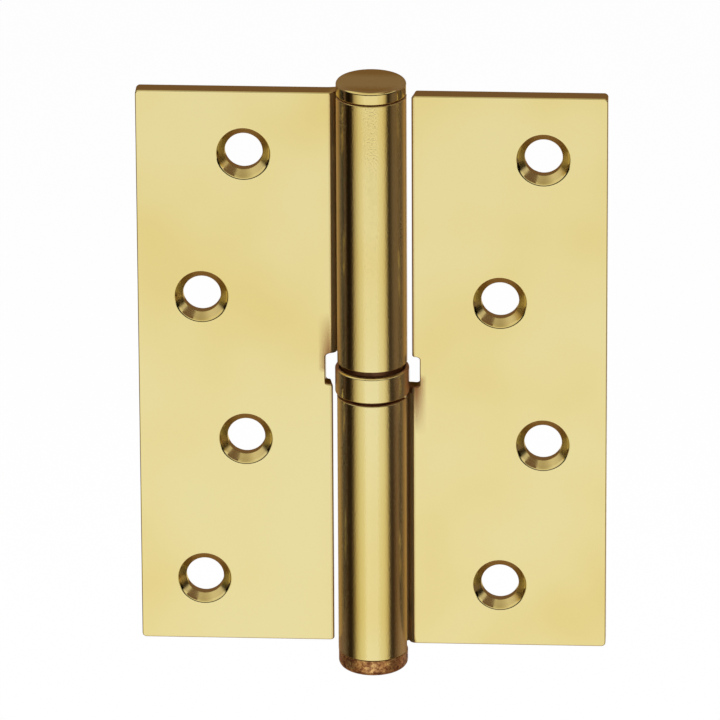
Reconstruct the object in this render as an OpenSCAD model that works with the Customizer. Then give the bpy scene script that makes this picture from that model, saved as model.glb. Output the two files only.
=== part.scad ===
// Lift-off butt hinge with a ball thrust bearing, lying open flat.
// The barrel axis is Z. X runs across the open leaves and +Y points behind them.
// The origin lies on the barrel axis, at mid-height. Millimetres.

/* [Leaves] */
// Height of each leaf
leaf_h = 100; // [92:1:140]
// Width of each leaf, from the barrel axis to its outer edge
leaf_w = 39.7; // [37:0.1:60]
// Thickness of the sheet
sheet_t = 2.8; // [2.4:0.1:3.2]
// How far the screw faces lie behind the barrel axis
leaf_set = 0.7; // [0.4:0.1:1.2]
// Radius of the four outer corners
corner_r = 0.7; // [0.3:0.1:3]
// Gap between a leaf's straight edge and the other leaf's knuckle
edge_gap = 0.85; // [0.6:0.05:1.5]

/* [Screw holes] */
// Diameter of the through holes
hole_d = 6.4; // [4:0.1:6.6]
// Diameter of the countersinks on the screw face
sink_d = 8.9; // [7.6:0.1:9.6]
// Height from a leaf's end to the centre of its nearest hole
hole_end = 11.15; // [7:0.05:14]
// Distance of the inner column of holes from the barrel axis
hole_x = 21.6; // [18:0.1:24]
// Sideways step between the two columns
hole_stagger = 7.3; // [6:0.1:8]

/* [Barrel] */
// Diameter of the hinge pin
pin_d = 6.35; // [5.5:0.05:7]
// Running clearance on radius between the pin and what turns on it
pin_clear = 0.05; // [0.02:0.01:0.1]
// Free height between the pin's tip and the top cap's stem
tip_room = 7.2; // [0.5:0.1:20]
// Free height between the pin's foot and the bottom cap's stem
foot_room = 3.2; // [0.5:0.1:20]
// How far the lower knuckle passes the foot of its leaf
knuckle_over = 0.6; // [0.2:0.1:1]
// Direction of the rolled sheet's cut end, in degrees below the leaf
roll_end_a = 4; // [2:0.5:10]
// Direction of the leaf's root at the bore, in degrees
roll_root_a = 12; // [10:0.5:20]
// Radius of the leaf's shoulder beside the barrel
neck_r = 1.15; // [0.8:0.05:1.3]
// Gap between the barrel and that shoulder
neck_gap = 0.2; // [0.1:0.05:0.4]
// Radius of the sweep behind that shoulder
sweep_r = 8; // [5:0.5:10]

/* [Notches] */
// Height of the notch around the bearing
notch_h = 5.6; // [5.2:0.1:7]
// Depth of the notch past the straight edge
notch_d = 1.2; // [1:0.1:2]
// Height from the notch's edge down to the lower knuckle's end
notch_room = 0.9; // [0.2:0.1:1]
// Radius of the notch's inner corners
notch_r = 0.65; // [0.3:0.05:1]

/* [Bearing] */
// Free height between the two knuckles, which the bearing fills
bearing_h = 6.2; // [5.9:0.1:7]
// How much higher the door leaf sits than the frame leaf
seat_rise = 0.4; // [0.2:0.1:1]
// How far the outer ring stands out from the knuckles
ring_proud = 0.32; // [0.2:0.02:0.4]
// Wall of the outer ring
ring_wall = 0.65; // [0.5:0.05:0.8]
// Open band between the outer ring and the lower knuckle
ring_gap_low = 0.7; // [0.3:0.05:0.8]
// Open band between the outer ring and the upper knuckle
ring_gap_top = 0.75; // [0.3:0.05:0.8]
// Height of the bevel on the outer ring's upper edge
ring_bevel = 0.45; // [0.3:0.05:0.8]
// Height of the lip that holds the lower race
ring_lip = 0.4; // [0.3:0.05:0.6]
// Diameter of the balls
ball_d = 2.2; // [1.8:0.1:2.2]
// Number of balls
ball_n = 10; // [6:1:10]
// Depth of each ball track
track_d = 0.4; // [0.2:0.05:0.5]
// Play around each ball
ball_play = 0.03; // [0.02:0.01:0.05]

/* [Caps] */
// Height of the top cap's head
top_head_h = 2.6; // [2:0.1:4]
// Height of the bottom cap's head
bottom_head_h = 3; // [2:0.1:4]
// How far the caps' heads stay inside the knuckles' diameter
cap_inset = 0.05; // [0.02:0.01:0.3]
// Length of the caps' stems
stem_l = 4; // [3:0.5:5]
// Radius of the top cap's upper edge
top_edge_r = 0.35; // [0.2:0.05:1]
// Radius of the bottom cap's lower edge
bottom_edge_r = 1.1; // [0.3:0.05:1.6]
// Small edge break on the heads, the outer ring and the foot of the pin
edge_break = 0.25; // [0.1:0.05:0.4]
// Length of the pin's tapered tip
pin_tip = 2; // [1:0.5:4]

/* [Hidden] */
$fn = 96;

gold = [0.86, 0.77, 0.5];
copper = [0.62, 0.4, 0.22];
bronze = [0.5, 0.37, 0.2];
steel = [0.72, 0.73, 0.74];

// More than any cut needs to run clear of what it cuts
over = 1;
pin_r = pin_d / 2;
free_r = pin_r + pin_clear;
knuckle_r = pin_r + sheet_t;
leaf_back = leaf_set + sheet_t;
half_notch = notch_h / 2;

// Edges in the plane of the leaf
straight_x = knuckle_r + edge_gap;
notch_x = straight_x + notch_d;

// Shoulder beside the barrel, and the sweep from the back face onto the roll
neck_c = [knuckle_r + neck_gap + neck_r, leaf_set + neck_r];
neck_p = [neck_c.x - neck_r, neck_c.y];
sweep_span = knuckle_r + sweep_r;
sweep_c = [sqrt(sweep_span * sweep_span - pow(leaf_back + sweep_r, 2)), leaf_back + sweep_r];
join_x = max(notch_x, sweep_c.x, neck_c.x);
hole_pitch = (leaf_h - 2 * hole_end) / 3;
low_fill_r = min(notch_r, 0.9 * (notch_x - neck_c.x));

// Heights, from the frame leaf's middle
low_end = -half_notch - notch_room;
top_end = low_end + bearing_h;
barrel_foot = -leaf_h / 2 - knuckle_over;
barrel_head = leaf_h / 2 + seat_rise;
pin_foot = barrel_foot + stem_l + foot_room;
pin_head = barrel_head - stem_l - tip_room;

// Lifts the whole hinge so that the origin is midway between the ends of the caps
lift = -(barrel_foot - bottom_head_h + barrel_head + top_head_h) / 2;

// Bearing, from the inside out
ring_r = knuckle_r + ring_proud;
ring_bore = ring_r - ring_wall;
ring_foot = low_end + ring_gap_low;
ring_head = top_end - ring_gap_top;
race_slack = 0.12;
foot_r = ring_bore - ring_wall / 2;
track_r = (free_r + ring_bore) / 2;
ball_z = (low_end + top_end) / 2;
race_space = ball_d / 2 + ball_play - track_d;

function along(a, r) = [r * cos(a), r * sin(a)];

// A cylinder from z0 to z1, its upper and lower edges broken by top and foot
module turned(r, z0, z1, top = 0, foot = 0) {
    rotate_extrude()
        polygon([[0, z0], [r - foot, z0], [r, z0 + foot], [r, z1 - top], [r - top, z1], [0, z1]]);
}

// A head with one rounded edge, from its flat side at 0 up to h
module rounded_head(r, h, edge) {
    rotate_extrude() {
        square([r - edge, h]);
        translate([0, edge_break])
            square([r, h - edge - edge_break]);
        polygon([[0, 0], [r - edge_break, 0], [r, edge_break], [0, edge_break]]);
        intersection() {
            translate([r - edge, h - edge])
                circle(edge);
            square([r, h]);
        }
    }
}

// Where the leaf's root meets the bore, drawn out a little past it
function root_p(bore_r) =
    neck_p + (along(roll_root_a, bore_r) - neck_p) * (1 + over / neck_p.x);

// Section through the rolled sheet: a ring, open between its cut end and its root
module knuckle_section(bore_r) {
    difference() {
        circle(knuckle_r);
        circle(bore_r);
        polygon([along(-roll_end_a, bore_r - over), [neck_p.x, -neck_p.x * tan(roll_end_a)],
            neck_p, root_p(bore_r)]);
    }
}

// Section through the leaf's root, from the bore out to the flat of the leaf
module root_section(bore_r) {
    difference() {
        union() {
            translate(neck_c)
                circle(neck_r);
            polygon([root_p(bore_r), neck_p, neck_c, [neck_c.x, leaf_set], [join_x, leaf_set],
                [join_x, leaf_back], [sweep_c.x, leaf_back], sweep_c,
                along(atan2(sweep_c.y, sweep_c.x), knuckle_r)]);
        }
        circle(bore_r);
        translate(sweep_c)
            circle(sweep_r);
    }
}

// Rounds one corner of a flat outline: sx and sy point out of the corner
module corner_waste(p, sx, sy, r) {
    translate([p.x - sx * r, p.y - sy * r])
        difference() {
            translate([sx > 0 ? 0 : -r - over, sy > 0 ? 0 : -r - over])
                square(r + over);
            circle(r);
        }
}

// Fills one inner corner of a flat outline: sx and sy point into the solid
module corner_fill(p, sx, sy, r) {
    difference() {
        translate([sx > 0 ? p.x - r : p.x, sy > 0 ? p.y - r : p.y])
            square(r);
        translate([p.x - sx * r, p.y - sy * r])
            circle(r);
    }
}

// Flat part of the leaf seen from the front, with its straight edge above the notch.
// The root of the knuckle ends at the height root_head.
module plate_outline(root_head) {
    difference() {
        union() {
            translate([join_x, -leaf_h / 2])
                square([leaf_w - join_x, leaf_h]);
            translate([notch_x, root_head])
                square([join_x - notch_x + over, leaf_h / 2 - root_head]);
            translate([straight_x, half_notch])
                square([join_x - straight_x + over, leaf_h / 2 - half_notch]);
            corner_fill([notch_x, half_notch], 1, 1, notch_r);
            corner_fill([notch_x, root_head], 1, -1, low_fill_r);
        }
        corner_waste([leaf_w, leaf_h / 2], 1, 1, corner_r);
        corner_waste([leaf_w, -leaf_h / 2], 1, -1, corner_r);
        corner_waste([straight_x, half_notch], -1, -1, notch_r / 2);
    }
}

// Screw holes in two staggered columns, countersunk from the screw face
module screw_holes() {
    sink_depth = (sink_d - hole_d) / 2;
    for (i = [0 : 3]) {
        z = (1.5 - i) * hole_pitch;
        x = hole_x + (i % 2 == 0 ? hole_stagger : 0);
        translate([x, leaf_set, z])
            rotate([-90, 0, 0]) {
                translate([0, 0, -over])
                    cylinder(h = sheet_t + 2 * over, d = hole_d);
                translate([0, 0, -over])
                    cylinder(h = sink_depth + over, d1 = sink_d + 2 * over, d2 = hole_d);
            }
    }
}

// A leaf with its knuckle below the notch, from the height foot up to head
module leaf(bore_r, foot, head) {
    root_head = min(head, -half_notch);
    difference() {
        union() {
            translate([0, leaf_back, 0])
                rotate([90, 0, 0])
                    linear_extrude(sheet_t)
                        plate_outline(root_head);
            translate([0, 0, -leaf_h / 2])
                linear_extrude(leaf_h / 2 + root_head)
                    root_section(bore_r);
            translate([0, 0, foot])
                linear_extrude(head - foot)
                    knuckle_section(bore_r);
        }
        screw_holes();
    }
}

// Leaf for the frame, with the knuckle that holds the pin
module frame_leaf() {
    color(gold)
        leaf(pin_r, barrel_foot, low_end);
}

// Leaf for the door: the same shape turned over, which lifts off the pin
module door_leaf() {
    color(gold)
        translate([0, 0, seat_rise])
            rotate([0, 180, 0])
                leaf(free_r, seat_rise - barrel_head, seat_rise - top_end);
}

// Pin pressed into the lower knuckle, tapered to find the upper one
module hinge_pin() {
    color(steel) {
        turned(pin_r, pin_foot, pin_head - pin_tip, 0, edge_break);
        translate([0, 0, pin_head - pin_tip])
            cylinder(h = pin_tip, r1 = pin_r, r2 = pin_r - pin_tip / 2);
    }
}

// Plug that closes the upper knuckle
module top_cap() {
    color(gold)
        translate([0, 0, barrel_head]) {
            rounded_head(knuckle_r - cap_inset, top_head_h, top_edge_r);
            turned(free_r, -stem_l, edge_break, 0, edge_break);
        }
}

// Plug that closes the lower knuckle
module bottom_cap() {
    color(copper)
        translate([0, 0, barrel_foot])
            rotate([180, 0, 0]) {
                rounded_head(knuckle_r - cap_inset, bottom_head_h, bottom_edge_r);
                turned(pin_r, -stem_l, edge_break, 0, edge_break);
            }
}

// Outer ring of the bearing, crimped under the lower race
module bearing_ring() {
    color(bronze)
        rotate_extrude()
            polygon([[foot_r + ball_play, ring_foot], [ring_r - edge_break, ring_foot],
                [ring_r, ring_foot + edge_break], [ring_r, ring_head - ring_bevel],
                [ring_r - ring_wall * 0.6, ring_head], [ring_bore, ring_head],
                [ring_bore, ring_foot + ring_lip], [foot_r + ball_play, ring_foot + ring_lip]]);
}

// Groove that a ball track cuts, as a full ring around the axis
module ball_track() {
    rotate_extrude()
        translate([track_r, ball_z])
            circle(ball_d / 2 + ball_play);
}

// Race that stands on the lower knuckle
module lower_race() {
    color(steel)
        difference() {
            union() {
                turned(foot_r, low_end, ring_foot + ring_lip + over / 4);
                turned(ring_bore, ring_foot + ring_lip, ball_z - race_space);
            }
            translate([0, 0, low_end - over])
                cylinder(h = notch_h, r = free_r);
            ball_track();
        }
}

// Race that carries the upper knuckle and turns with it
module upper_race() {
    color(steel)
        difference() {
            turned(ring_bore - race_slack, ball_z + race_space, top_end);
            translate([0, 0, ball_z])
                cylinder(h = notch_h, r = free_r);
            ball_track();
        }
}

// Balls between the two races
module bearing_balls() {
    color(steel)
        for (i = [0 : ball_n - 1])
            rotate([0, 0, i * 360 / ball_n])
                translate([track_r, 0, ball_z])
                    sphere(d = ball_d);
}

module lifted() {
    translate([0, 0, lift])
        children();
}

lifted() frame_leaf();
lifted() door_leaf();
lifted() hinge_pin();
lifted() top_cap();
lifted() bottom_cap();
lifted() bearing_ring();
lifted() lower_race();
lifted() upper_race();
lifted() bearing_balls();
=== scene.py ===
import bpy
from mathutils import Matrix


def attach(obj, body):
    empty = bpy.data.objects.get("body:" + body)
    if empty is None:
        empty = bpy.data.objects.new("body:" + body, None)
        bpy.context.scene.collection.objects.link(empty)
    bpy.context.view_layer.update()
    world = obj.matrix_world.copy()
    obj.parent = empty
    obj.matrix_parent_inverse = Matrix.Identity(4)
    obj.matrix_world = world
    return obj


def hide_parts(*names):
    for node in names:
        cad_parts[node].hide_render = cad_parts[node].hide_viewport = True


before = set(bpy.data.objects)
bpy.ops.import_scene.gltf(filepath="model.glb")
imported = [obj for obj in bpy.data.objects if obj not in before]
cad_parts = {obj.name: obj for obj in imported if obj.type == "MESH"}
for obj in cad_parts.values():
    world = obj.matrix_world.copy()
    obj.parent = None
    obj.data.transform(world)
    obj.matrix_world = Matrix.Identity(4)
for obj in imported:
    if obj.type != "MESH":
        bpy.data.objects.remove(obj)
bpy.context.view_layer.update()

import bpy
import math
import numpy as np
from mathutils import Matrix, Vector
from mathutils.geometry import delaunay_2d_cdt

# Lift-off butt hinge, lying open flat. Sizes are in millimetres until a mesh is made.
# The barrel axis is Z, X runs across the leaves and -Y faces the camera.
mm = 0.001


def linearColour(hexCode):
    channels = [int(hexCode[i:i + 2], 16) / 255 for i in (1, 3, 5)]
    linear = [c / 12.92 if c <= 0.04045 else ((c + 0.055) / 1.055) ** 2.4 for c in channels]
    return (*linear, 1.0)


cameraSetup = {
    "target": (-2.06, 0.0, 2.76),
    "turn": 3.2,             # degrees to the right of straight on
    "height": 22.0,          # degrees above the level
    "roll": -0.3,
    "distance": 1650.0,
    "pixelsAcross": 9748.0,  # focal length in pixels of a 720 pixel wide picture
}


def placeCamera():
    a, e = math.radians(cameraSetup["turn"]), math.radians(cameraSetup["height"])
    back = Vector((math.sin(a) * math.cos(e), -math.cos(a) * math.cos(e), math.sin(e)))
    data = bpy.data.cameras.new("photoCamera")
    camera = bpy.data.objects.new("photoCamera", data)
    bpy.context.collection.objects.link(camera)
    data.sensor_width = 36
    data.sensor_fit = "HORIZONTAL"
    data.lens = cameraSetup["pixelsAcross"] / 720 * 36
    data.clip_start, data.clip_end = 0.05, 20
    camera.location = Vector(cameraSetup["target"]) * mm + back * cameraSetup["distance"] * mm
    roll = Matrix.Rotation(math.radians(cameraSetup["roll"]), 3, "Z")
    camera.rotation_mode = "QUATERNION"
    camera.rotation_quaternion = (back.to_track_quat("Z", "Y").to_matrix() @ roll).to_quaternion()
    bpy.context.scene.camera = camera
    print("camera placed")


def addMesh(name, points, faces, material):
    mesh = bpy.data.meshes.new(name)
    mesh.from_pydata([tuple(np.asarray(p) * mm) for p in points], [], faces)
    mesh.materials.append(material)
    item = bpy.data.objects.new(name, mesh)
    bpy.context.collection.objects.link(item)
    return item


def makePiece(name, body, node, mesh, material):
    # mesh holds points, faces and the way that the real surface faces at each point
    points, faces, facing = mesh
    piece = addMesh(name, points, faces, material)
    piece.data.polygons.foreach_set("use_smooth", [True] * len(faces))
    piece.data.normals_split_custom_set_from_vertices([tuple(n) for n in facing])
    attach(piece, body)
    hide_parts(node)


def smoothStep(low, high, value):
    t = min(1.0, max(0.0, (value - low) / (high - low)))
    return t * t * (3 - 2 * t)


def arcPoints(centre, radius, start, end, steps):
    return [(centre[0] + radius * math.cos(math.radians(start + (end - start) * i / steps)),
             centre[1] + radius * math.sin(math.radians(start + (end - start) * i / steps)))
            for i in range(steps + 1)]


lift = 0.3  # the frame leaf's middle lies this far above the origin

# Each leaf is cut as a flat blank, in u along the sheet and z up it, and then its tab is
# rolled round the pin. u is x on the flat part and goes on round the roll to the cut end.
leafSheet = {
    "height": 100.0,
    "width": 39.7,
    "thickness": 2.8,
    "setBack": 0.7,          # screw face behind the barrel axis
    "cornerRadius": 0.7,
    "straightX": 7.12,       # edge beside the other leaf's knuckle
    "notchX": 8.025,
    "notchHalf": 2.8,
    "notchRadius": 0.52,
    "floorRadius": 0.7,      # of the notch's corner beside the roll
    "frontRound": 0.2,       # the press rolls the front edges over
    "backRound": 0.14,
    "supportInset": 0.14,    # flat strip that keeps the rounding off the face
    "knuckleRadius": 5.975,
    "middleRadius": 4.59,    # of the sheet's middle line in the roll
    "neckCentre": (7.25, 1.85),
    "neckRadius": 1.15,
    "sweepCentre": (7.94, 11.5),
    "sweepRadius": 8.0,
    "tangentAngle": 55.4,
    "endAngle": 349.0,       # the sheet's cut end, just short of the leaf
    "rootAngle": 12.0,
    "rootLength": 5.5,
    "gridStep": 2.0,
    "rowStep": 1.6,
    "shoulderDip": 0.25,     # how far the roll pulls the face back below the notch
    "dipReach": 8.5,
    "dipFade": 4.5,
}
frameKnuckle = {"boreRadius": 3.175, "foot": -50.6, "head": -3.7}
doorKnuckle = {"boreRadius": 3.225, "foot": -50.0, "head": -2.1}
doorTurnsAbout = 0.4         # height that maps onto the frame leaf's middle when turned over

screwHoles = {
    "places": ((28.9, 38.85), (21.6, 12.95), (28.9, -12.95), (21.6, -38.85)),
    "sides": 96,
    "support": 4.9,
    # (radius, depth) from the screw face to the back: rolled rim, cone, land and bore
    "wall": ((4.75, 0.0), (4.62, 0.012), (4.52, 0.045), (4.44, 0.1), (4.36, 0.195), (3.95, 0.6),
             (3.55, 0.99), (3.30, 1.22), (3.24, 1.29), (3.2, 1.4), (3.2, 2.6), (3.22, 2.7),
             (3.28, 2.77), (3.36, 2.8)),
}
rollStart = leafSheet["notchX"] - leafSheet["rootLength"]
rollTurn = math.radians(leafSheet["endAngle"] - leafSheet["tangentAngle"])
blankEnd = rollStart - rollTurn * leafSheet["middleRadius"]


def rootPaths(boreRadius):
    # the two sides of the sheet between the roll and the flat, with their shares of the length
    s = leafSheet
    inner = arcPoints((0, 0), boreRadius, s["tangentAngle"], s["rootAngle"], 8)
    inner += [(s["neckCentre"][0] - s["neckRadius"], s["neckCentre"][1])]
    inner += arcPoints(s["neckCentre"], s["neckRadius"], 180, 270, 16)[1:]
    inner += [(s["notchX"], s["setBack"])]
    outer = arcPoints(s["sweepCentre"], s["sweepRadius"], 180 + s["tangentAngle"], 270, 20)
    outer += [(s["notchX"], s["setBack"] + s["thickness"])]
    paths = []
    for path in (np.array(inner), np.array(outer)):
        along = np.concatenate([[0], np.cumsum(np.hypot(*np.diff(path, axis=0).T))])
        paths.append((path, along / along[-1]))
    return paths


def blankOutline(columns):
    # counter-clockwise, with the edges over the roll cut at the columns
    s = leafSheet
    h, r, c, f = s["height"] / 2, s["notchRadius"], s["cornerRadius"], s["floorRadius"]
    top = -s["notchHalf"]
    tabCorner = 0.32
    inRoll = [u for u in columns if blankEnd + tabCorner < u < s["notchX"] - f]
    rows = np.arange(top - s["rowStep"], -h + 1.0, -s["rowStep"])
    points = arcPoints((blankEnd + tabCorner, -h + tabCorner), tabCorner, 180, 270, 4)
    points += [(u, -h) for u in inRoll]
    points += [(u, -h) for u in np.arange(s["notchX"], s["width"] - c - 0.5, s["gridStep"])]
    points += arcPoints((s["width"] - c, -h + c), c, 270, 360, 8)
    points += [(s["width"], z) for z in np.arange(-h + s["gridStep"], h - 1.5, s["gridStep"])]
    points += arcPoints((s["width"] - c, h - c), c, 0, 90, 8)
    points += [(u, h) for u in np.arange(s["width"] - c - s["gridStep"], s["straightX"] + 1.5, -s["gridStep"])]
    points += arcPoints((s["straightX"] + 0.5, h - 0.5), 0.5, 90, 180, 6)
    points += [(s["straightX"], z) for z in np.arange(h - s["gridStep"], s["notchHalf"] + 1.2, -s["gridStep"])]
    points += arcPoints((s["straightX"] + 0.34, s["notchHalf"] + 0.34), 0.34, 180, 270, 6)
    points += arcPoints((s["notchX"] - r, s["notchHalf"] - r), r, 90, 0, 8)
    points += [(s["notchX"], z) for z in (1.2, 0.0, -1.2)]
    points += arcPoints((s["notchX"] - f, top + f), f, 0, -90, 8)
    points += [(u, top) for u in reversed(inRoll)]
    points += arcPoints((blankEnd + tabCorner, top - tabCorner), tabCorner, 90, 180, 4)
    points += [(blankEnd, z) for z in rows]
    return np.array(points), rows


def outwardNormals(loop):
    before = loop - np.roll(loop, 1, axis=0)
    after = np.roll(loop, -1, axis=0) - loop
    before /= np.linalg.norm(before, axis=1)[:, None]
    after /= np.linalg.norm(after, axis=1)[:, None]
    normal = np.stack([before[:, 1] + after[:, 1], -(before[:, 0] + after[:, 0])], axis=1)
    normal /= np.linalg.norm(normal, axis=1)[:, None]
    cosHalf = np.clip(np.sum(normal * np.stack([after[:, 1], -after[:, 0]], axis=1), axis=1), 0.7, 1)
    return normal / cosHalf[:, None]


def insideLoop(loop, points):
    x, y = points[:, 0][:, None], points[:, 1][:, None]
    x1, y1 = loop[:, 0][None], loop[:, 1][None]
    x2, y2 = np.roll(loop[:, 0], -1)[None], np.roll(loop[:, 1], -1)[None]
    crosses = ((y1 > y) != (y2 > y)) & (x < (x2 - x1) * (y - y1) / (y2 - y1 + 1e-30) + x1)
    return crosses.sum(axis=1) % 2 == 1


def distanceToLoop(loop, points):
    a, b = loop[None], np.roll(loop, -1, axis=0)[None]
    p = points[:, None]
    share = np.clip(np.sum((p - a) * (b - a), axis=2) / np.sum((b - a) ** 2, axis=2), 0, 1)
    return np.linalg.norm(p - (a + share[..., None] * (b - a)), axis=2).min(axis=1)


def bendBlank(knuckle, paths, u, z, depth):
    # takes a point of the blank, at a depth behind its screw face, to its place in the leaf
    s = leafSheet
    if u >= s["notchX"]:
        x, y = u, s["setBack"] + depth
    else:
        angle = 20.0
        if u >= rollStart:
            at = (u - rollStart) / s["rootLength"]
            front, back = [[np.interp(at, along, path[:, k]) for k in (0, 1)] for path, along in paths]
        else:
            angle = s["tangentAngle"] + math.degrees((rollStart - u) / s["middleRadius"])
            cosA, sinA = math.cos(math.radians(angle)), math.sin(math.radians(angle))
            front = (knuckle["boreRadius"] * cosA, knuckle["boreRadius"] * sinA)
            back = (s["knuckleRadius"] * cosA, s["knuckleRadius"] * sinA)
        share = depth / s["thickness"]
        x = front[0] + (back[0] - front[0]) * share
        y = front[1] + (back[1] - front[1]) * share
        # the roll creeps along the pin, so the knuckle's ends lie off the blank's edges
        rootFoot, rootHead = -s["height"] / 2, -s["notchHalf"]
        grown = knuckle["foot"] + (z - rootFoot) * (knuckle["head"] - knuckle["foot"]) / (rootHead - rootFoot)
        z += (grown - z) * smoothStep(30, 110, angle)
    if u > 6.2 and z < 0:
        below = -s["notchHalf"] - z
        nearNotch = math.exp(-max(0.0, below) / s["dipFade"]) * smoothStep(-2.2, 0.0, below)
        reach = 1 - smoothStep(s["straightX"], s["dipReach"], u)
        y += s["shoulderDip"] * nearNotch * reach * (1 - 0.8 * depth / s["thickness"])
    return (x, y, z)


def bendFacing(knuckle, paths, u, z, depth, facing):
    # turns a direction of the blank (u, z, depth) with the sheet, by small steps along each
    if u > leafSheet["dipReach"] + 0.2:
        return (facing[0], facing[2], facing[1])
    step = 0.04
    columns = []
    for du, dz, dd in ((step, 0, 0), (0, step, 0), (0, 0, step)):
        ahead = bendBlank(knuckle, paths, u + du, z + dz, depth + dd)
        behind = bendBlank(knuckle, paths, u - du, z - dz, depth - dd)
        columns.append(np.subtract(ahead, behind) / (2 * step))
    turned = np.linalg.solve(np.array(columns), np.array(facing, float))
    return tuple(turned / np.linalg.norm(turned))


def leafMesh(knuckle):
    s = leafSheet
    paths = rootPaths(knuckle["boreRadius"])
    stations = {round(float(w), 5) for w in paths[0][1][2:]} | {0.15, 0.4, 0.5, 0.6}
    rootColumns = [rollStart + s["rootLength"] * w for w in sorted(stations) if w < 0.999]
    rollColumns = list(np.linspace(blankEnd, rollStart, 97))
    columns = sorted(set(round(float(u), 5) for u in rollColumns + rootColumns))
    outline, rows = blankOutline(columns)
    normals = outwardNormals(outline)
    thick = s["thickness"]
    wall, sides = screwHoles["wall"], screwHoles["sides"]

    # points of the blank's inside, kept off the edges and the holes
    grid = [(u, z) for u in columns if u > blankEnd + 0.6 for z in rows if z > -49.2]
    grid += [(u, z) for u in np.arange(s["notchX"] + 1.0, s["width"] - 0.8, s["gridStep"])
             for z in np.arange(-49, 49.5, s["gridStep"])]
    grid += [(u, z) for u in (8.3, 8.6, 9.0, 9.6, 10.6) for z in rows]
    grid = np.array(grid)
    grid = grid[insideLoop(outline, grid) & (distanceToLoop(outline, grid) > 0.68)]
    for cx, cz in screwHoles["places"]:
        grid = grid[np.hypot(grid[:, 0] - cx, grid[:, 1] - cz) > screwHoles["support"] + 0.6]

    border = outline - normals * s["frontRound"]
    support = s["frontRound"] + s["supportInset"]
    inner = outline - normals * support
    inner = inner[distanceToLoop(outline, inner) > support - 0.01]
    circle = [(math.cos(2 * math.pi * i / sides), math.sin(2 * math.pi * i / sides)) for i in range(sides)]
    loops = [border]
    for radius in (wall[0][0], screwHoles["support"]):
        for cx, cz in screwHoles["places"]:
            loops.append(np.array([(cx + radius * a, cz + radius * b) for a, b in circle]))
    flat = np.concatenate(loops + [inner, grid])
    edges, start = [], 0
    for loop in loops:
        n = len(loop)
        edges += [(start + i, start + (i + 1) % n) for i in range(n)]
        start += n
    made = delaunay_2d_cdt([Vector(p) for p in flat], edges, [], 0, 1e-6)
    source = [origin[0] for origin in made[3]]
    triangles = np.array([[source[i] for i in face] for face in made[2]])
    middle = flat[triangles].mean(axis=1)
    keep = insideLoop(border, middle)
    for cx, cz in screwHoles["places"]:
        keep &= np.hypot(middle[:, 0] - cx, middle[:, 1] - cz) > wall[0][0] - 0.01
    sideA = flat[triangles[:, 1]] - flat[triangles[:, 0]]
    sideB = flat[triangles[:, 2]] - flat[triangles[:, 0]]
    area = sideA[:, 0] * sideB[:, 1] - sideA[:, 1] * sideB[:, 0]
    keep &= np.abs(area) > 1e-6
    triangles, area = triangles[keep], area[keep]
    triangles[area < 0] = triangles[area < 0][:, ::-1]

    points, facing = [], []

    def addPoint(u, z, depth, direction):
        points.append(bendBlank(knuckle, paths, u, z, depth))
        facing.append(bendFacing(knuckle, paths, u, z, depth, direction))

    # screw face, seen from -Y: u to the right and z up is counter-clockwise
    for u, z in flat:
        addPoint(u, z, 0.0, (0, 0, -1))
    faces = [tuple(t) for t in triangles]
    backStart, n0 = len(points), len(outline)
    backFlat = flat.copy()
    backFlat[:n0] = outline - normals * s["backRound"]
    for k, (cx, cz) in enumerate(screwHoles["places"]):
        first = n0 + k * sides
        backFlat[first:first + sides] = [(cx + wall[-1][0] * a, cz + wall[-1][0] * b) for a, b in circle]
    for u, z in backFlat:
        addPoint(u, z, thick, (0, 0, 1))
    faces += [tuple(backStart + i for i in reversed(t)) for t in triangles]

    # rounded outer edge, from the screw face round to the back
    turns = [math.radians(a) for a in (18, 36, 54, 72, 90)]
    front, back = s["frontRound"], s["backRound"]
    levels = [(front * (1 - math.sin(a)), front * (1 - math.cos(a)), math.sin(a), -math.cos(a)) for a in turns]
    levels += [(0.0, thick * 0.5, 1.0, 0.0)]
    levels += [(back * (1 - math.sin(a)), thick - back * (1 - math.cos(a)), math.sin(a), math.cos(a))
               for a in reversed(turns)]
    previous = list(range(n0))
    for inset, depth, out, through in levels:
        current = [len(points) + i for i in range(n0)]
        for (u, z), normal in zip(outline, normals):
            away = normal / np.linalg.norm(normal) * out
            addPoint(u - normal[0] * inset, z - normal[1] * inset, depth, (away[0], away[1], through))
        faces += [(previous[i], current[i], current[(i + 1) % n0], previous[(i + 1) % n0]) for i in range(n0)]
        previous = current
    faces += [(previous[i], backStart + i, backStart + (i + 1) % n0, previous[(i + 1) % n0]) for i in range(n0)]

    # countersunk screw holes
    for k, (cx, cz) in enumerate(screwHoles["places"]):
        previous = [n0 + k * sides + i for i in range(sides)]
        for (radius0, depth0), (radius, depth), (radius1, depth1) in zip(wall, wall[1:], wall[2:]):
            current = [len(points) + i for i in range(sides)]
            tilt = math.atan2(depth1 - depth0, radius0 - radius1)
            for a, b in circle:
                addPoint(cx + radius * a, cz + radius * b, depth,
                         (-a * math.sin(tilt), -b * math.sin(tilt), -math.cos(tilt)))
            faces += [(previous[(i + 1) % sides], current[(i + 1) % sides], current[i], previous[i])
                      for i in range(sides)]
            previous = current
        last = [backStart + n0 + k * sides + i for i in range(sides)]
        faces += [(previous[(i + 1) % sides], last[(i + 1) % sides], last[i], previous[i]) for i in range(sides)]
    return points, faces, facing


turnedSides = 144


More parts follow.
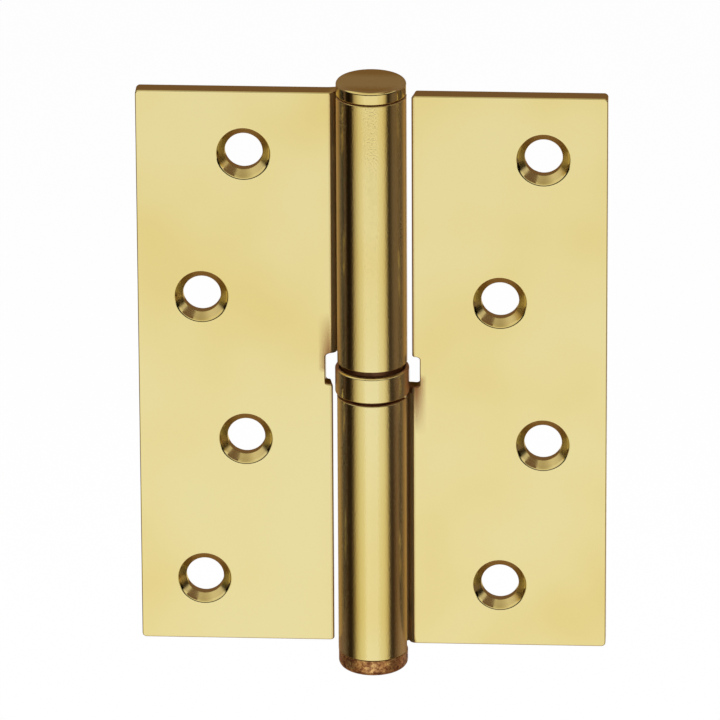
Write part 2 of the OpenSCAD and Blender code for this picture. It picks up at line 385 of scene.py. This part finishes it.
def turnedMesh(profile, closed=False):
    # the profile is (radius, height), anticlockwise, from the axis or round a closed ring
    points, faces, rings, facing = [], [], [], []
    count = len(profile)
    for k, (radius, height) in enumerate(profile):
        before = profile[k - 1] if k or closed else None
        after = profile[(k + 1) % count] if k < count - 1 or closed else None
        out = np.zeros(2)
        for (r0, h0), (r1, h1) in ((before, profile[k]) if before else ((0, 0), (0, 0)),
                                   (profile[k], after) if after else ((0, 0), (0, 0))):
            length = math.hypot(r1 - r0, h1 - h0)
            if length:
                # the shorter side is part of a rounding, so the longer, flat side leads
                out += np.array([h1 - h0, r0 - r1]) / length * min(length, 0.6)
        out /= np.linalg.norm(out)
        if radius < 1e-6:
            rings.append([len(points)])
            points.append((0.0, 0.0, height))
            facing.append((0.0, 0.0, math.copysign(1, out[1])))
        else:
            rings.append([len(points) + i for i in range(turnedSides)])
            for i in range(turnedSides):
                c, t = math.cos(2 * math.pi * i / turnedSides), math.sin(2 * math.pi * i / turnedSides)
                points.append((radius * c, radius * t, height))
                facing.append((out[0] * c, out[0] * t, out[1]))
    pairs = list(zip(rings, rings[1:])) + ([(rings[-1], rings[0])] if closed else [])
    for low, high in pairs:
        for i in range(turnedSides):
            j = (i + 1) % turnedSides
            if len(low) == 1:
                faces.append((low[0], high[j], high[i]))
            elif len(high) == 1:
                faces.append((low[i], low[j], high[0]))
            else:
                faces.append((low[i], low[j], high[j], high[i]))
    return points, faces, facing


topCap = {
    "seat": 50.4 + lift,
    "headHeight": 2.6,
    "radius": 5.925,
    "upperRound": (0.75, 0.65),  # across and down
    "lowerRound": 0.26,
    "gap": 0.18,             # the head stands a hair off the knuckle
    "stemRadius": 3.225,
    "stemLength": 4.0,
    "stemChamfer": 0.25,
}


def topCapProfile():
    c = topCap
    head, under = c["seat"] + c["headHeight"], c["seat"] + c["gap"]
    end = c["seat"] - c["stemLength"]
    profile = [(0, end), (c["stemRadius"] - c["stemChamfer"], end), (c["stemRadius"], end + c["stemChamfer"]),
               (c["stemRadius"], under), (4.4, under)]
    profile += arcPoints((c["radius"] - c["lowerRound"], under + c["lowerRound"]), c["lowerRound"], -90, 0, 6)
    across, down = c["upperRound"]
    profile += [(c["radius"] - across + across * math.cos(math.radians(a)),
                 head - down + down * math.sin(math.radians(a))) for a in range(0, 91, 6)]
    profile += [(4.0, head - 0.012), (1.5, head - 0.018), (0.16, head - 0.02), (0.1, head - 0.07), (0, head - 0.1)]
    return profile


bottomCap = {
    "seat": -50.6 + lift,
    "headHeight": 3.0,
    "radius": 5.925,
    "lowerRound": 1.1,
    "upperRound": 0.16,
    "gap": 0.05,
    "stemRadius": 3.175,
    "stemLength": 4.0,
    "stemChamfer": 0.25,
}


def bottomCapProfile():
    c = bottomCap
    foot, upper = c["seat"] - c["headHeight"], c["seat"] - c["gap"]
    end = c["seat"] + c["stemLength"]
    profile = [(0, foot), (2.4, foot + 0.01), (4.2, foot + 0.03)]
    profile += arcPoints((c["radius"] - c["lowerRound"], foot + c["lowerRound"]), c["lowerRound"], -80, 0, 12)
    profile += arcPoints((c["radius"] - c["upperRound"], upper - c["upperRound"]), c["upperRound"], 0, 90, 5)
    profile += [(4.4, upper), (c["stemRadius"], upper), (c["stemRadius"], end - c["stemChamfer"]),
                (c["stemRadius"] - c["stemChamfer"], end), (0, end)]
    return profile


bearingRing = {
    "foot": -3.0 + lift,
    "head": 1.55 + lift,
    "radius": 6.292,
    "boreRadius": 5.645,
    "lipRadius": 5.35,
    "lipHeight": 0.4,
    "upperRound": 0.38,
    "lowerRound": 0.16,
}


def ringProfile():
    r = bearingRing
    foot, head = r["foot"], r["head"]
    profile = [(r["lipRadius"], foot)]
    profile += arcPoints((r["radius"] - r["lowerRound"], foot + r["lowerRound"]), r["lowerRound"], -90, 0, 5)
    profile += [(r["radius"], (foot + head) / 2)]
    profile += arcPoints((r["radius"] - r["upperRound"], head - r["upperRound"]), r["upperRound"], 0, 90, 12)
    profile += [(r["boreRadius"] + 0.05, head), (r["boreRadius"], head - 0.05),
                (r["boreRadius"], foot + r["lipHeight"]), (r["lipRadius"], foot + r["lipHeight"])]
    return profile


def addNode(tree, kind, settings=None, links=None):
    node = tree.nodes.new(kind)
    for key, value in (settings or {}).items():
        if key == "stops":
            elements = node.color_ramp.elements
            while len(elements) < len(value):
                elements.new(0.5)
            for element, (position, colour) in zip(elements, value):
                element.position = position
                element.color = linearColour(colour)
        elif isinstance(key, int) or key in node.inputs:
            node.inputs[key].default_value = value
        else:
            setattr(node, key, value)
    for key, source in (links or {}).items():
        tree.links.new(source, node.inputs[key])
    return node


def newMaterial(name):
    material = bpy.data.materials.new(name)
    material.use_nodes = True
    tree = material.node_tree
    tree.nodes.clear()
    return material, tree, addNode(tree, "ShaderNodeOutputMaterial")


sheetBrass = {
    "deeper": "#e1cd85",
    "colour": "#e5d697",
    "paler": "#e6d99f",
    "edge": "#eed9a6",
    # painted shade: the next colour is laid into corners and recesses by ambient occlusion
    "shadeColour": "#ac7044",
    "shadeReach": 1.7,       # mm, how far into the open the painted corner shade reaches
    "roughness": 0.05,
    "peelSize": 0.3,         # mm, orange peel where the sheet was rolled
    "peelDepth": 0.02,       # mm
    "faceDepth": 0.0014,     # mm, the same on the flat faces
    "drawLine": 0.16,        # mm between drawn lines
    "shoulderShading": 0.9,          # painted shade, browner on the shoulder beside the notch
    "sides": 0.65,           # painted shade, browner on the roll's sides
    "cutFace": "#dccb90",    # punched and countersunk faces
    "cutDulls": 0.14,        # roughness added there
    "notchShadeColour": "#4c3826",  # painted shade on the notch's cut faces, under the ring
}
# the caps and the ring carry the same painted shade in their corners and on their sides
capBrass = {**sheetBrass, "peelDepth": 0.004, "shadeReach": 0.7, "shoulderShading": 0.0, "sides": 0.25}
ringBrass = {**sheetBrass, "peelDepth": 0.014, "shadeColour": "#9c5c36", "shadeReach": 1.0,
             "shoulderShading": 0.0, "sides": 0.9}


def platedBrass(name, look):
    # Steel sheet, brass plated and lacquered: pale gold that mirrors the studio, with an
    # orange peel where it was rolled, faint drawn lines, and painted brown shade in the corners,
    # on the shoulder beside the notch, on the roll's sides and on the notch's cut faces
    material, tree, output = newMaterial(name)
    place = addNode(tree, "ShaderNodeTexCoord")
    inMm = addNode(tree, "ShaderNodeVectorMath", {"operation": "SCALE", "Scale": 1 / mm},
                   {0: place.outputs["Object"]})
    across = addNode(tree, "ShaderNodeVectorMath", {"operation": "MULTIPLY", 1: (1, 1, 0)}, {0: inMm.outputs[0]})
    fromAxis = addNode(tree, "ShaderNodeVectorMath", {"operation": "LENGTH"}, {0: across.outputs[0]})
    onRoll = addNode(tree, "ShaderNodeMapRange", {"From Min": 7.4, "From Max": 6.3},
                     {"Value": fromAxis.outputs["Value"]})

    broad = addNode(tree, "ShaderNodeTexNoise", {"Scale": 0.03, "Detail": 2.0}, {"Vector": inMm.outputs[0]})
    tint = addNode(tree, "ShaderNodeValToRGB", {"stops": [(0.3, look["deeper"]), (0.5, look["colour"]),
                                                          (0.7, look["paler"])]}, {"Fac": broad.outputs["Fac"]})
    speck = addNode(tree, "ShaderNodeTexNoise", {"Scale": 1 / look["peelSize"], "Detail": 3.0, "Roughness": 0.6},
                    {"Vector": inMm.outputs[0]})
    # painted shade: ambient occlusion, broken up by the speck noise, darkens corners, recesses and gaps towards brown
    occlusion = addNode(tree, "ShaderNodeAmbientOcclusion", {"samples": 8, "Distance": look["shadeReach"] * mm})
    ragged = addNode(tree, "ShaderNodeMath", {"operation": "MULTIPLY_ADD", 1: 0.5, 2: -0.25},
                     {0: speck.outputs["Fac"]})
    openness = addNode(tree, "ShaderNodeMath", {"operation": "ADD"},
                       {0: occlusion.outputs["AO"], 1: ragged.outputs[0]})
    corner = addNode(tree, "ShaderNodeMapRange", {"From Min": 0.74, "From Max": 0.28},
                     {"Value": openness.outputs[0]})

    # painted shade: a brown patch on the shoulder, beside the notch and on the roll's side of it
    apart = addNode(tree, "ShaderNodeSeparateXYZ", {}, {0: inMm.outputs[0]})
    sideways = addNode(tree, "ShaderNodeMath", {"operation": "ABSOLUTE"}, {0: apart.outputs["X"]})
    level = addNode(tree, "ShaderNodeMath", {"operation": "ABSOLUTE"}, {0: apart.outputs["Z"]})
    outward = addNode(tree, "ShaderNodeMapRange", {"From Min": 9.2, "From Max": 7.5}, {"Value": sideways.outputs[0]})
    along = addNode(tree, "ShaderNodeMapRange", {"From Min": 11.0, "From Max": 3.0}, {"Value": level.outputs[0]})
    patch = addNode(tree, "ShaderNodeMath", {"operation": "MULTIPLY"},
                    {0: outward.outputs["Result"], 1: along.outputs["Result"]})
    corners = addNode(tree, "ShaderNodeMath", {"operation": "MULTIPLY"}, {0: apart.outputs["X"], 1: apart.outputs["Z"]})
    rollSide = addNode(tree, "ShaderNodeMapRange", {"From Min": 0.0, "From Max": -8.0}, {"Value": corners.outputs[0]})
    shoulder = addNode(tree, "ShaderNodeMath", {"operation": "MULTIPLY"},
                       {0: patch.outputs[0], 1: rollSide.outputs["Result"]})
    onFront = addNode(tree, "ShaderNodeMapRange", {"From Min": 1.6, "From Max": 1.2, "To Max": look["shoulderShading"]},
                      {"Value": apart.outputs["Y"]})
    offRoll = addNode(tree, "ShaderNodeMath", {"operation": "SUBTRACT", "use_clamp": True},
                      {0: onFront.outputs["Result"], 1: onRoll.outputs["Result"]})
    shoulderShadeMask = addNode(tree, "ShaderNodeMath", {"operation": "MULTIPLY", "use_clamp": True},
                        {0: shoulder.outputs[0], 1: offRoll.outputs[0]})
    # painted shade: browner towards the roll's sides, away from its front, mottled by the speck noise
    mottled = addNode(tree, "ShaderNodeMath", {"operation": "MULTIPLY_ADD", 1: 3.0},
                      {0: speck.outputs["Fac"], 2: apart.outputs["Y"]})
    rollBack = addNode(tree, "ShaderNodeMapRange", {"From Min": -2.9, "From Max": -0.9, "To Max": look["sides"]},
                       {"Value": mottled.outputs[0]})
    rollFront = addNode(tree, "ShaderNodeMapRange", {"From Min": 3.4, "From Max": 1.2}, {"Value": apart.outputs["Y"]})
    besideLeaf = addNode(tree, "ShaderNodeMath", {"operation": "MULTIPLY"},
                         {0: rollBack.outputs["Result"], 1: rollFront.outputs["Result"]})
    rollSideShade = addNode(tree, "ShaderNodeMath", {"operation": "MULTIPLY"},
                      {0: besideLeaf.outputs[0], 1: onRoll.outputs["Result"]})
    shoulderAndSideShade = addNode(tree, "ShaderNodeMath", {"operation": "MAXIMUM"}, {0: shoulderShadeMask.outputs[0], 1: rollSideShade.outputs[0]})
    paintedShade = addNode(tree, "ShaderNodeMath", {"operation": "MAXIMUM"},
                   {0: corner.outputs["Result"], 1: shoulderAndSideShade.outputs[0]})

    # punched and countersunk faces lie between the sheet's two skins
    behindFront = addNode(tree, "ShaderNodeMapRange", {"From Min": 0.98, "From Max": 1.1}, {"Value": apart.outputs["Y"]})
    beforeBack = addNode(tree, "ShaderNodeMapRange", {"From Min": 3.46, "From Max": 3.38}, {"Value": apart.outputs["Y"]})
    between = addNode(tree, "ShaderNodeMath", {"operation": "MULTIPLY"},
                      {0: behindFront.outputs["Result"], 1: beforeBack.outputs["Result"]})
    onLeaf = addNode(tree, "ShaderNodeMath", {"operation": "GREATER_THAN", 1: 7.6}, {0: fromAxis.outputs["Value"]})
    cut = addNode(tree, "ShaderNodeMath", {"operation": "MULTIPLY"}, {0: between.outputs[0], 1: onLeaf.outputs[0]})
    bare = addNode(tree, "ShaderNodeMix", {"data_type": "RGBA", 7: linearColour(look["cutFace"])},
                   {0: cut.outputs[0], 6: tint.outputs["Color"]})
    # painted shade: the notch's cut faces are coloured dark brown for the shade under the ring
    nearNotch = addNode(tree, "ShaderNodeMath", {"operation": "LESS_THAN", 1: 3.6}, {0: level.outputs[0]})
    inNotch = addNode(tree, "ShaderNodeMapRange", {"From Min": 8.6, "From Max": 8.3}, {"Value": sideways.outputs[0]})
    notchPlace = addNode(tree, "ShaderNodeMath", {"operation": "MULTIPLY"},
                         {0: nearNotch.outputs[0], 1: inNotch.outputs["Result"]})
    notchShare = addNode(tree, "ShaderNodeMath", {"operation": "MULTIPLY"},
                         {0: notchPlace.outputs[0], 1: between.outputs[0]})
    withNotchShade = addNode(tree, "ShaderNodeMix", {"data_type": "RGBA", 7: linearColour(look["notchShadeColour"])},
                      {0: notchShare.outputs[0], 6: bare.outputs[2]})
    colour = addNode(tree, "ShaderNodeMix", {"data_type": "RGBA", 7: linearColour(look["shadeColour"])},
                     {0: paintedShade.outputs[0], 6: withNotchShade.outputs[2]})
    metal = addNode(tree, "ShaderNodeMapRange", {"To Min": 1.0, "To Max": 0.25}, {"Value": paintedShade.outputs[0]})

    lineScale = addNode(tree, "ShaderNodeMapping", {"Scale": (1 / look["drawLine"], 1 / look["drawLine"], 0.04)},
                        {"Vector": inMm.outputs[0]})
    lines = addNode(tree, "ShaderNodeTexNoise", {"Scale": 1.0, "Detail": 2.0}, {"Vector": lineScale.outputs[0]})
    peel = addNode(tree, "ShaderNodeMapRange", {"To Min": look["faceDepth"] * mm, "To Max": look["peelDepth"] * mm},
                   {"Value": onRoll.outputs["Result"]})
    peelBump = addNode(tree, "ShaderNodeBump", {"Strength": 1.0},
                       {"Height": speck.outputs["Fac"], "Distance": peel.outputs["Result"]})
    lineBump = addNode(tree, "ShaderNodeBump", {"Strength": 1.0, "Distance": 0.0006 * mm},
                       {"Height": lines.outputs["Fac"], "Normal": peelBump.outputs["Normal"]})
    cutDull = addNode(tree, "ShaderNodeMath", {"operation": "MULTIPLY", 1: look["cutDulls"]}, {0: cut.outputs[0]})
    dull = addNode(tree, "ShaderNodeMath", {"operation": "MULTIPLY_ADD", 1: 0.22}, {0: paintedShade.outputs[0]})
    rough = addNode(tree, "ShaderNodeMapRange", {"To Min": look["roughness"] * 0.7, "To Max": look["roughness"] * 1.5},
                    {"Value": lines.outputs["Fac"]})
    plain = addNode(tree, "ShaderNodeMath", {"operation": "ADD"}, {0: rough.outputs["Result"], 1: cutDull.outputs[0]})
    tree.links.new(plain.outputs[0], dull.inputs[2])
    shader = addNode(tree, "ShaderNodeBsdfPrincipled", {"Specular Tint": linearColour(look["edge"])},
                     {"Base Color": colour.outputs[2], "Metallic": metal.outputs["Result"],
                      "Roughness": dull.outputs[0], "Normal": lineBump.outputs["Normal"]})
    tree.links.new(shader.outputs["BSDF"], output.inputs["Surface"])
    return material


capCopper = {
    "bright": "#ecc07c",
    "mid": "#b88250",
    "dark": "#7c4c2c",
    # painted shade colour for the corners and the joint
    "shadeColour": "#2c130a",
    "roughness": 0.28,
    "patchSize": 1.0,        # mm
    "scratch": 0.25,         # mm
}


def rubbedCopper(name, look):
    # Copper strike showing where the brass rubbed through: reddish patches over dull metal,
    # scuffed by handling, so it blurs and breaks what it mirrors
    material, tree, output = newMaterial(name)
    place = addNode(tree, "ShaderNodeTexCoord")
    inMm = addNode(tree, "ShaderNodeVectorMath", {"operation": "SCALE", "Scale": 1 / mm},
                   {0: place.outputs["Object"]})
    patches = addNode(tree, "ShaderNodeTexNoise", {"Scale": 1 / look["patchSize"], "Detail": 6.0, "Roughness": 0.75,
                                                  "Distortion": 0.8}, {"Vector": inMm.outputs[0]})
    tint = addNode(tree, "ShaderNodeValToRGB", {"stops": [(0.4, look["dark"]), (0.5, look["mid"]),
                                                          (0.6, look["bright"])]}, {"Fac": patches.outputs["Fac"]})
    # painted shade: ambient occlusion darkens corners and the joint
    occlusion = addNode(tree, "ShaderNodeAmbientOcclusion", {"samples": 8, "Distance": 0.6 * mm})
    corner = addNode(tree, "ShaderNodeMapRange", {"From Min": 0.85, "From Max": 0.35},
                     {"Value": occlusion.outputs["AO"]})
    colour = addNode(tree, "ShaderNodeMix", {"data_type": "RGBA", 7: linearColour(look["shadeColour"])},
                     {0: corner.outputs["Result"], 6: tint.outputs["Color"]})
    fine = addNode(tree, "ShaderNodeTexNoise", {"Scale": 1 / look["scratch"], "Detail": 3.0},
                   {"Vector": inMm.outputs[0]})
    rough = addNode(tree, "ShaderNodeMapRange", {"To Min": look["roughness"] * 1.5, "To Max": look["roughness"] * 0.6},
                    {"Value": patches.outputs["Fac"]})
    bump = addNode(tree, "ShaderNodeBump", {"Strength": 1.0, "Distance": 0.03 * mm}, {"Height": patches.outputs["Fac"]})
    fineBump = addNode(tree, "ShaderNodeBump", {"Strength": 1.0, "Distance": 0.012 * mm},
                       {"Height": fine.outputs["Fac"], "Normal": bump.outputs["Normal"]})
    shader = addNode(tree, "ShaderNodeBsdfPrincipled", {"Metallic": 0.8},
                     {"Base Color": colour.outputs[2], "Roughness": rough.outputs["Result"],
                      "Normal": fineBump.outputs["Normal"]})
    tree.links.new(shader.outputs["BSDF"], output.inputs["Surface"])
    return material


pinSteel = {
    "colour": "#c9c8c4",
    "darker": "#a9a7a1",
    "roughness": 0.2,
    "grindLine": 0.12,       # mm
}
# the bearing races' dark brown is painted shade, for the shaded gap between the ring and the knuckles
shadedBearingSteel = {**pinSteel, "colour": "#6a4a36", "darker": "#4a3020", "roughness": 0.3}


def groundSteel(name, look):
    # Carbon steel, ground and oiled: fine rings round the axis; the races' brown is painted shade
    material, tree, output = newMaterial(name)
    place = addNode(tree, "ShaderNodeTexCoord")
    inMm = addNode(tree, "ShaderNodeVectorMath", {"operation": "SCALE", "Scale": 1 / mm},
                   {0: place.outputs["Object"]})
    squeezed = addNode(tree, "ShaderNodeMapping", {"Scale": (0.12, 0.12, 1 / look["grindLine"])},
                       {"Vector": inMm.outputs[0]})
    rings = addNode(tree, "ShaderNodeTexNoise", {"Scale": 1.0, "Detail": 3.0}, {"Vector": squeezed.outputs[0]})
    broad = addNode(tree, "ShaderNodeTexNoise", {"Scale": 0.3, "Detail": 3.0}, {"Vector": inMm.outputs[0]})
    tint = addNode(tree, "ShaderNodeValToRGB", {"stops": [(0.35, look["darker"]), (0.65, look["colour"])]},
                   {"Fac": broad.outputs["Fac"]})
    rough = addNode(tree, "ShaderNodeMapRange", {"To Min": look["roughness"] * 0.7, "To Max": look["roughness"] * 1.5},
                    {"Value": rings.outputs["Fac"]})
    bump = addNode(tree, "ShaderNodeBump", {"Strength": 1.0, "Distance": 0.003 * mm}, {"Height": rings.outputs["Fac"]})
    shader = addNode(tree, "ShaderNodeBsdfPrincipled", {"Metallic": 1.0},
                     {"Base Color": tint.outputs["Color"], "Roughness": rough.outputs["Result"],
                      "Normal": bump.outputs["Normal"]})
    tree.links.new(shader.outputs["BSDF"], output.inputs["Surface"])
    return material


def buildPieces():
    leafMaterial = platedBrass("platedBrassSheet", sheetBrass)
    points, faces, facing = leafMesh(frameKnuckle)
    placed = [(x, y, z + lift) for x, y, z in points]
    makePiece("frameLeafSkin", "frame", "frame_leaf", (placed, faces, facing), leafMaterial)
    points, faces, facing = leafMesh(doorKnuckle)
    placed = [(-x, y, doorTurnsAbout + lift - z) for x, y, z in points]
    facing = [(-x, y, -z) for x, y, z in facing]
    makePiece("doorLeafSkin", "door", "door_leaf", (placed, faces, facing), leafMaterial)
    print("leaves pressed and rolled")

    makePiece("topCapSkin", "door", "top_cap", turnedMesh(topCapProfile()),
              platedBrass("platedBrassCap", capBrass))
    makePiece("bottomCapSkin", "frame", "bottom_cap", turnedMesh(bottomCapProfile()),
              rubbedCopper("rubbedCopperCap", capCopper))
    makePiece("bearingRingSkin", "frame", "bearing_ring", turnedMesh(ringProfile(), closed=True),
              platedBrass("platedBrassRing", ringBrass))
    print("caps and ring turned")

    bearingMaterial = groundSteel("bearingSteelPaintedShade", shadedBearingSteel)
    inside = {"hinge_pin": groundSteel("groundSteelPin", pinSteel), "lower_race": bearingMaterial,
              "upper_race": bearingMaterial, "bearing_balls": groundSteel("polishedBalls", {**pinSteel, "roughness": 0.1})}
    for node, material in inside.items():
        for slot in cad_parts[node].material_slots:
            slot.material = material
    print("pin, races and balls finished")


# Colours are by the angle round the barrel, in degrees from straight ahead of it, so they
# are what its two sides mirror: dark flags beside the hinge and a brown room behind it
studio = {
    "floorDrop": 400.0,      # mm from the axis' middle down to the floor
    "floorSize": 6000.0,
    "flagRadius": 450.0,
    "flagTop": -60.0,
    "flagSplit": -180.0,     # the lower knuckle mirrors the flags below this height
    "upperLeft": ((-165, "#504038"), (-138, "#b09070"), (-115, "#6a5044"), (-92, "#604c44"), (-84, "#20180f"),
                  (-72, "#1a120b"), (-61, "#40342c"), (-53, "#b8a890"), (-38, "#ebe4ce"), (-20, "#fdfcfa")),
    "upperRight": ((22, "#fcfaf4"), (40, "#f0e8d4"), (49, "#d0c0a0"), (57, "#54483f"), (62, "#302822"),
                   (78, "#74645a"), (110, "#7c6050"), (135, "#b8a088"), (160, "#584840")),
    "lowerLeft": ((-165, "#786050"), (-150, "#b89878"), (-130, "#705448"), (-105, "#604a3e"), (-84, "#302418"),
                  (-70, "#30261e"), (-61, "#786852"), (-52, "#c8b890"), (-38, "#ece4c4"), (-20, "#faf6e4")),
    "lowerRight": ((22, "#faf8ec"), (42, "#f0e8d0"), (54, "#ccbc9c"), (60, "#5c5048"), (72, "#382c26"),
                   (94, "#846858"), (130, "#c4b0a0"), (158, "#302420")),
    "domeRadius": 1200.0,
    "domeFoot": -14.0,       # degrees
    # by the angle above the level, in front of the hinge and behind it
    "front": ((-14, "#0c0907"), (9, "#100c08"), (17, "#e8e0d0"), (50, "#f0e8d4"), (66, "#c8bca0"), (88, "#6a5446")),
    "rightPanel": {"around": 66, "above": 45, "away": 1000, "size": 620, "colour": "#7c6656"},
    "rear": "#846c62",
    "underColour": "#92745d",
}


def seenRay(tree):
    # 1 for what the camera, a mirror or a glass sees, 0 for light that falls on things
    path = addNode(tree, "ShaderNodeLightPath")
    both = addNode(tree, "ShaderNodeMath", {"operation": "MAXIMUM"},
                   {0: path.outputs["Is Camera Ray"], 1: path.outputs["Is Glossy Ray"]})
    return addNode(tree, "ShaderNodeMath", {"operation": "MAXIMUM"},
                   {0: both.outputs[0], 1: path.outputs["Is Transmission Ray"]})


def flagCloth(name, stops):
    # dyed cloth, lit from within by its own glow, whose colour changes round the barrel
    material, tree, output = newMaterial(name)
    place = addNode(tree, "ShaderNodeTexCoord")
    apart = addNode(tree, "ShaderNodeSeparateXYZ", {}, {0: place.outputs["Object"]})
    ahead = addNode(tree, "ShaderNodeMath", {"operation": "MULTIPLY", 1: -1.0}, {0: apart.outputs["Y"]})
    angle = addNode(tree, "ShaderNodeMath", {"operation": "ARCTAN2"}, {0: apart.outputs["X"], 1: ahead.outputs[0]})
    share = addNode(tree, "ShaderNodeMapRange", {"From Min": -math.pi, "From Max": math.pi}, {0: angle.outputs[0]})
    tint = addNode(tree, "ShaderNodeValToRGB", {"stops": [((d + 180) / 360, c) for d, c in stops]},
                   {"Fac": share.outputs["Result"]})
    glow = addNode(tree, "ShaderNodeEmission", {"Strength": 1.0}, {"Color": tint.outputs["Color"]})
    tree.links.new(glow.outputs[0], output.inputs["Surface"])
    return material


def domeCloth(name):
    # pale tent ahead of the hinge, dark at the level of the lens, and the brown room behind
    material, tree, output = newMaterial(name)
    place = addNode(tree, "ShaderNodeTexCoord")
    unit = addNode(tree, "ShaderNodeVectorMath", {"operation": "NORMALIZE"}, {0: place.outputs["Object"]})
    apart = addNode(tree, "ShaderNodeSeparateXYZ", {}, {0: unit.outputs[0]})
    height = addNode(tree, "ShaderNodeMath", {"operation": "ARCSINE"}, {0: apart.outputs["Z"]})
    share = addNode(tree, "ShaderNodeMapRange", {"From Min": math.radians(-20), "From Max": math.radians(90)},
                    {0: height.outputs[0]})
    front = addNode(tree, "ShaderNodeValToRGB", {"stops": [((d + 20) / 110, c) for d, c in studio["front"]]},
                    {"Fac": share.outputs["Result"]})
    behind = addNode(tree, "ShaderNodeMapRange", {"From Min": -0.12, "From Max": 0.12}, {0: apart.outputs["Y"]})
    colour = addNode(tree, "ShaderNodeMix", {"data_type": "RGBA", 7: linearColour(studio["rear"])},
                     {0: behind.outputs["Result"], 6: front.outputs["Color"]})
    glow = addNode(tree, "ShaderNodeEmission", {"Strength": 1.0}, {"Color": colour.outputs[2]})
    tree.links.new(glow.outputs[0], output.inputs["Surface"])
    return material


def onlyInReflections(item):
    item.visible_camera = False
    item.visible_diffuse = False
    item.visible_shadow = False
    item.visible_transmission = False
    item.visible_volume_scatter = False


def addFlag(name, stops, low, high):
    start, end, steps, radius = stops[0][0], stops[-1][0], 64, studio["flagRadius"]
    points, faces = [], []
    for i in range(steps + 1):
        a = math.radians(start + (end - start) * i / steps)
        points += [(radius * math.sin(a), -radius * math.cos(a), low), (radius * math.sin(a), -radius * math.cos(a), high)]
    for i in range(steps):
        faces.append((2 * i, 2 * i + 2, 2 * i + 3, 2 * i + 1))
    item = addMesh(name, points, faces, flagCloth(name + "Cloth", stops))
    onlyInReflections(item)


def addDome():
    points, faces, around, levels = [], [], 72, 24
    for j in range(levels + 1):
        e = math.radians(studio["domeFoot"] + (89.5 - studio["domeFoot"]) * j / levels)
        for i in range(around):
            a = 2 * math.pi * i / around
            points.append((studio["domeRadius"] * math.cos(e) * math.sin(a),
                           -studio["domeRadius"] * math.cos(e) * math.cos(a), studio["domeRadius"] * math.sin(e)))
    for j in range(levels):
        for i in range(around):
            k = (i + 1) % around
            faces.append((j * around + i, j * around + k, (j + 1) * around + k, (j + 1) * around + i))
    item = addMesh("studioDome", points, faces, domeCloth("studioDomeCloth"))
    onlyInReflections(item)


def addRightPanel():
    # a brown panel high on the right, which the countersinks and rims mirror
    p = studio["rightPanel"]
    a, e = math.radians(p["around"]), math.radians(p["above"])
    out = Vector((math.sin(a) * math.cos(e), -math.cos(a) * math.cos(e), math.sin(e)))
    side = Vector((math.cos(a), math.sin(a), 0))
    up = out.cross(side)
    corners = [out * p["away"] + side * i * p["size"] / 2 + up * j * p["size"] / 2
               for i, j in ((-1, -1), (1, -1), (1, 1), (-1, 1))]
    item = addMesh("rightPanel", corners, [(0, 1, 2, 3)],
                   flagCloth("rightPanelCloth", ((-180, p["colour"]), (180, p["colour"]))))
    onlyInReflections(item)


def addUnderCloth():
    # a brown cloth below and behind the hinge, which the tops of the countersinks mirror
    z = 8 - studio["floorDrop"]
    corners = [(-500, -260, z), (500, -260, z), (500, 700, z), (-500, 700, z)]
    item = addMesh("underCloth", corners, [(0, 1, 2, 3)],
                   flagCloth("underClothFelt", ((-180, studio["underColour"]), (180, studio["underColour"]))))
    onlyInReflections(item)


def buildStudio():
    scene = bpy.context.scene
    scene.view_settings.view_transform = "Standard"

    world = bpy.data.worlds.new("paleStudio")
    world.use_nodes = True
    tree = world.node_tree
    tree.nodes.clear()
    output = addNode(tree, "ShaderNodeOutputWorld")
    seen = seenRay(tree)
    strength = addNode(tree, "ShaderNodeMapRange", {"To Min": 0.55, "To Max": 1.0}, {"Value": seen.outputs[0]})
    light = addNode(tree, "ShaderNodeBackground", {"Color": (1, 1, 1, 1)}, {"Strength": strength.outputs["Result"]})
    tree.links.new(light.outputs[0], output.inputs["Surface"])
    scene.world = world

    # floor: pale paint, whose white comes from its own colour and what is added for seen rays
    material, tree, output = newMaterial("paleFloorPaint")
    seen = seenRay(tree)
    added = addNode(tree, "ShaderNodeMath", {"operation": "MULTIPLY", 1: 0.63}, {0: seen.outputs[0]})
    glow = addNode(tree, "ShaderNodeEmission", {"Color": (1, 1, 1, 1)}, {"Strength": added.outputs[0]})
    paint = addNode(tree, "ShaderNodeBsdfDiffuse", {"Color": linearColour("#cfcfcf")})
    both = addNode(tree, "ShaderNodeAddShader", {}, {0: glow.outputs[0], 1: paint.outputs[0]})
    tree.links.new(both.outputs[0], output.inputs["Surface"])
    z, half = -studio["floorDrop"], studio["floorSize"] / 2
    corners = [(-half, -half, z), (half, -half, z), (half, half, z), (-half, half, z)]
    addMesh("studioFloor", corners, [(0, 1, 2, 3)], material)

    low, split, high = 5 - studio["floorDrop"], studio["flagSplit"], studio["flagTop"]
    addFlag("upperLeftFlag", studio["upperLeft"], split, high)
    addFlag("upperRightFlag", studio["upperRight"], split, high)
    addFlag("lowerLeftFlag", studio["lowerLeft"], low, split)
    addFlag("lowerRightFlag", studio["lowerRight"], low, split)
    addDome()
    addRightPanel()
    addUnderCloth()

    lamps = {
        "overheadSoftbox": {"place": (0, -250, 700), "size": 500, "watts": 1.0},
        "frontFill": {"place": (-500, -900, 500), "size": 500, "watts": 1.0},
    }
    for name, lamp in lamps.items():
        data = bpy.data.lights.new(name, "AREA")
        data.energy = lamp["watts"]
        data.size = lamp["size"] * mm
        item = bpy.data.objects.new(name, data)
        item.location = Vector(lamp["place"]) * mm
        item.rotation_mode = "QUATERNION"
        item.rotation_quaternion = item.location.to_track_quat("Z", "Y")
        item.visible_glossy = False
        bpy.context.collection.objects.link(item)
    print("studio lit")


placeCamera()
buildPieces()
buildStudio()
